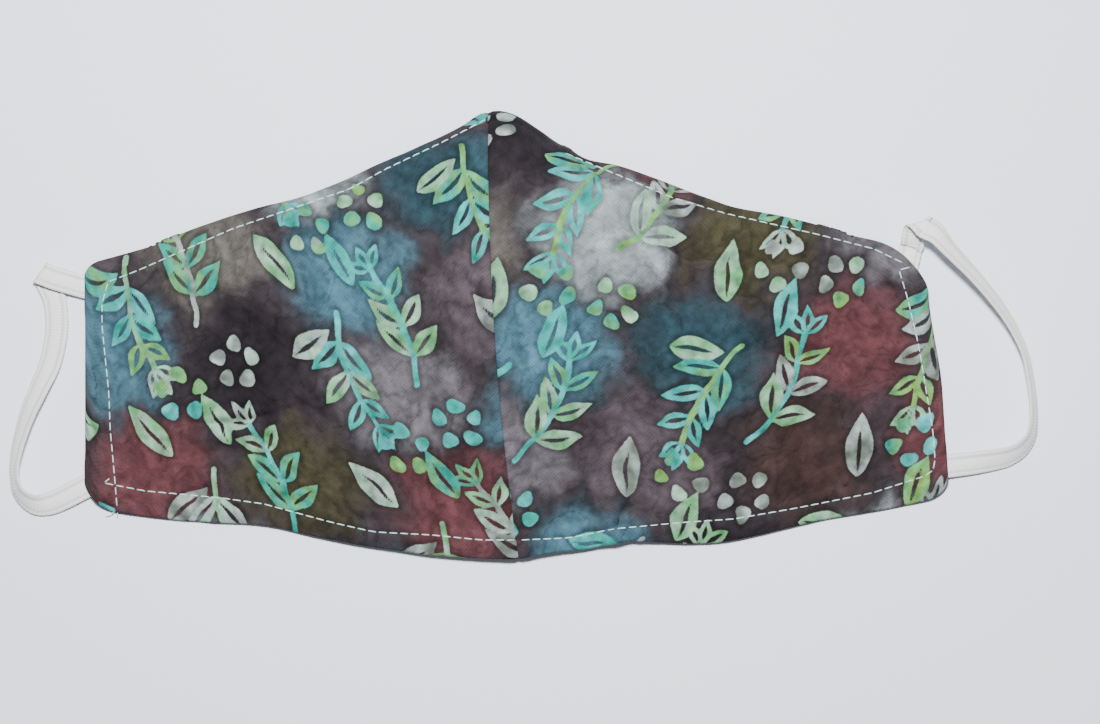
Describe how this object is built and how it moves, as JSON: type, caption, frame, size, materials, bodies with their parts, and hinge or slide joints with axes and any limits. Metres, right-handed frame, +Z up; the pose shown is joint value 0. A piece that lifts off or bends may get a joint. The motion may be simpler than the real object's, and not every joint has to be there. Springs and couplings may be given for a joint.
{
  "type": "cloth face mask",
  "caption": "Fitted cotton face mask with a curved centre seam, topstitched hems and flat elastic ear loops, lying face up on a table.",
  "frame": {"origin": "on the table under the middle of the mask's outline, ear loops included", "axes": "+X across the mask to the picture's right, from ear loop to ear loop; +Y towards the nose end of the centre seam; +Z up from the table, out of the mask's front"},
  "size_m": [0.2778, 0.119, 0.0262],
  "materials": {
    "cotton_left": "dark batik-dyed woven cotton, matt",
    "cotton_right": "dark batik-dyed woven cotton, matt",
    "elastic_left": "white knitted flat elastic, matt",
    "elastic_right": "white knitted flat elastic, matt"
  },
  "bodies": {
    "root": {"panel_left": "cotton_left", "panel_right": "cotton_right", "ear_loop_left": "elastic_left", "ear_loop_right": "elastic_right"}
  },
  "joints": []
}
